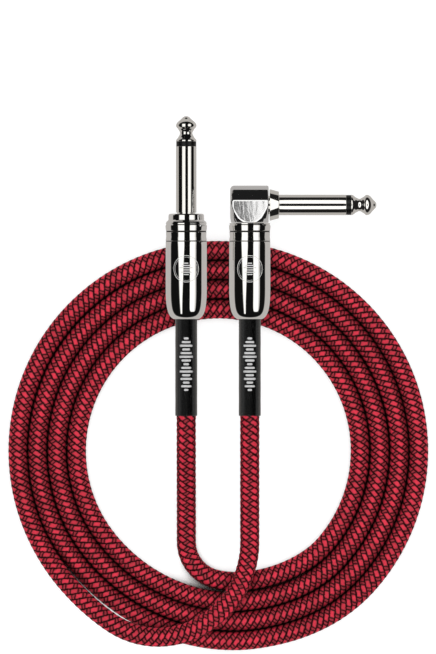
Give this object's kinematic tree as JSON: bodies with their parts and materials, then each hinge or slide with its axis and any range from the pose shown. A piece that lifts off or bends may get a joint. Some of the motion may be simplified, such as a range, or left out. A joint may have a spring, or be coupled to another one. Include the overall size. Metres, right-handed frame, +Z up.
{
  "type": "instrument cable",
  "caption": "Coiled braid-covered audio lead with a straight quarter-inch plug on one end and a right-angle quarter-inch plug on the other.",
  "frame": {"origin": "centre of the object's footprint, its bounding box, on the plane it rests on; the coil's centre is 21.2 mm from it towards -Y", "axes": "+Z up from the resting plane, +Y from the coil's centre towards the tip of the straight plug, +X the way the right-angle plug's shaft points"},
  "size_m": [0.1312, 0.1666, 0.0192],
  "materials": {
    "braid": "woven textile jacket, red carriers with black tracer yarns",
    "jacket": "matt extruded PVC",
    "copper": "bare stranded copper",
    "insulation": "natural polyethylene",
    "nickel": "polished nickel plate",
    "bright_chrome": "bright chrome plate",
    "dark_chrome": "polished chrome plate",
    "black_plastic": "moulded black insulator",
    "brass": "stamped sheet",
    "solder": "tin solder",
    "boot": "satin heat-shrink sleeve",
    "liner": "translucent insulating tube"
  },
  "bodies": {
    "coil": {"coil_braid": "braid", "coil_jacket": "jacket", "coil_shield": "copper", "coil_insulation": "insulation", "coil_conductor": "copper"},
    "straight_plug": {"straight_tail_braid": "braid", "straight_tail_jacket": "jacket", "straight_tail_shield": "copper", "straight_tail_insulation": "insulation", "straight_tail_conductor": "copper", "straight_tip": "nickel", "straight_tip_ring": "black_plastic", "straight_core_insulator": "black_plastic", "straight_sleeve": "nickel", "straight_collar": "dark_chrome", "straight_rear_insulator": "black_plastic", "straight_ground_lug": "brass", "straight_tip_solder": "solder", "straight_ground_solder": "solder", "straight_boot": "boot", "straight_tip_lug": "brass"},
    "straight_liner_carrier": {"straight_liner": "liner"},
    "straight_shell_barrel": {"straight_shell": "dark_chrome"},
    "angle_plug": {"angle_tail_braid": "braid", "angle_tail_jacket": "jacket", "angle_tail_shield": "copper", "angle_tail_insulation": "insulation", "angle_tail_conductor": "copper", "angle_tip": "nickel", "angle_tip_ring": "black_plastic", "angle_core_insulator": "black_plastic", "angle_sleeve": "nickel", "angle_collar": "dark_chrome", "angle_rear_insulator": "black_plastic", "angle_ground_lug": "brass", "angle_tip_solder": "solder", "angle_ground_solder": "solder", "angle_boot": "boot", "angle_tip_link": "brass", "angle_head": "bright_chrome"},
    "angle_liner_carrier": {"angle_liner": "liner"},
    "angle_shell_barrel": {"angle_shell": "dark_chrome"}
  },
  "joints": [
    {"name": "straight_plug_lift", "type": "hinge", "parent": "coil", "child": "straight_plug", "pos_m": [-0.01, -0.0462, 0.0059], "axis": [1, 0, 0], "range_deg": [0, 45]},
    {"name": "straight_shell_travel", "type": "slide", "parent": "straight_plug", "child": "straight_liner_carrier", "axis": [0, -1, 0], "range_m": [0, 0.005]},
    {"name": "straight_shell_unscrew", "type": "hinge", "parent": "straight_liner_carrier", "child": "straight_shell_barrel", "pos_m": [-0.01, 0.0318, 0.01275], "axis": [0, -1, 0], "range_deg": [0, 1801]},
    {"name": "angle_plug_lift", "type": "hinge", "parent": "coil", "child": "angle_plug", "pos_m": [0.0098, -0.0462, 0.0122], "axis": [1, 0, 0], "range_deg": [0, 45]},
    {"name": "angle_shell_travel", "type": "slide", "parent": "angle_plug", "child": "angle_liner_carrier", "axis": [0, -1, 0], "range_m": [0, 0.005]},
    {"name": "angle_shell_unscrew", "type": "hinge", "parent": "angle_liner_carrier", "child": "angle_shell_barrel", "pos_m": [0.0098, 0.0318, 0.01275], "axis": [0, -1, 0], "range_deg": [0, 1801]}
  ],
  "couplings": [
    {"joint": "straight_shell_unscrew", "follows": "straight_shell_travel", "rad_per_m": 6283.2},
    {"joint": "angle_shell_unscrew", "follows": "angle_shell_travel", "rad_per_m": 6283.2}
  ]
}
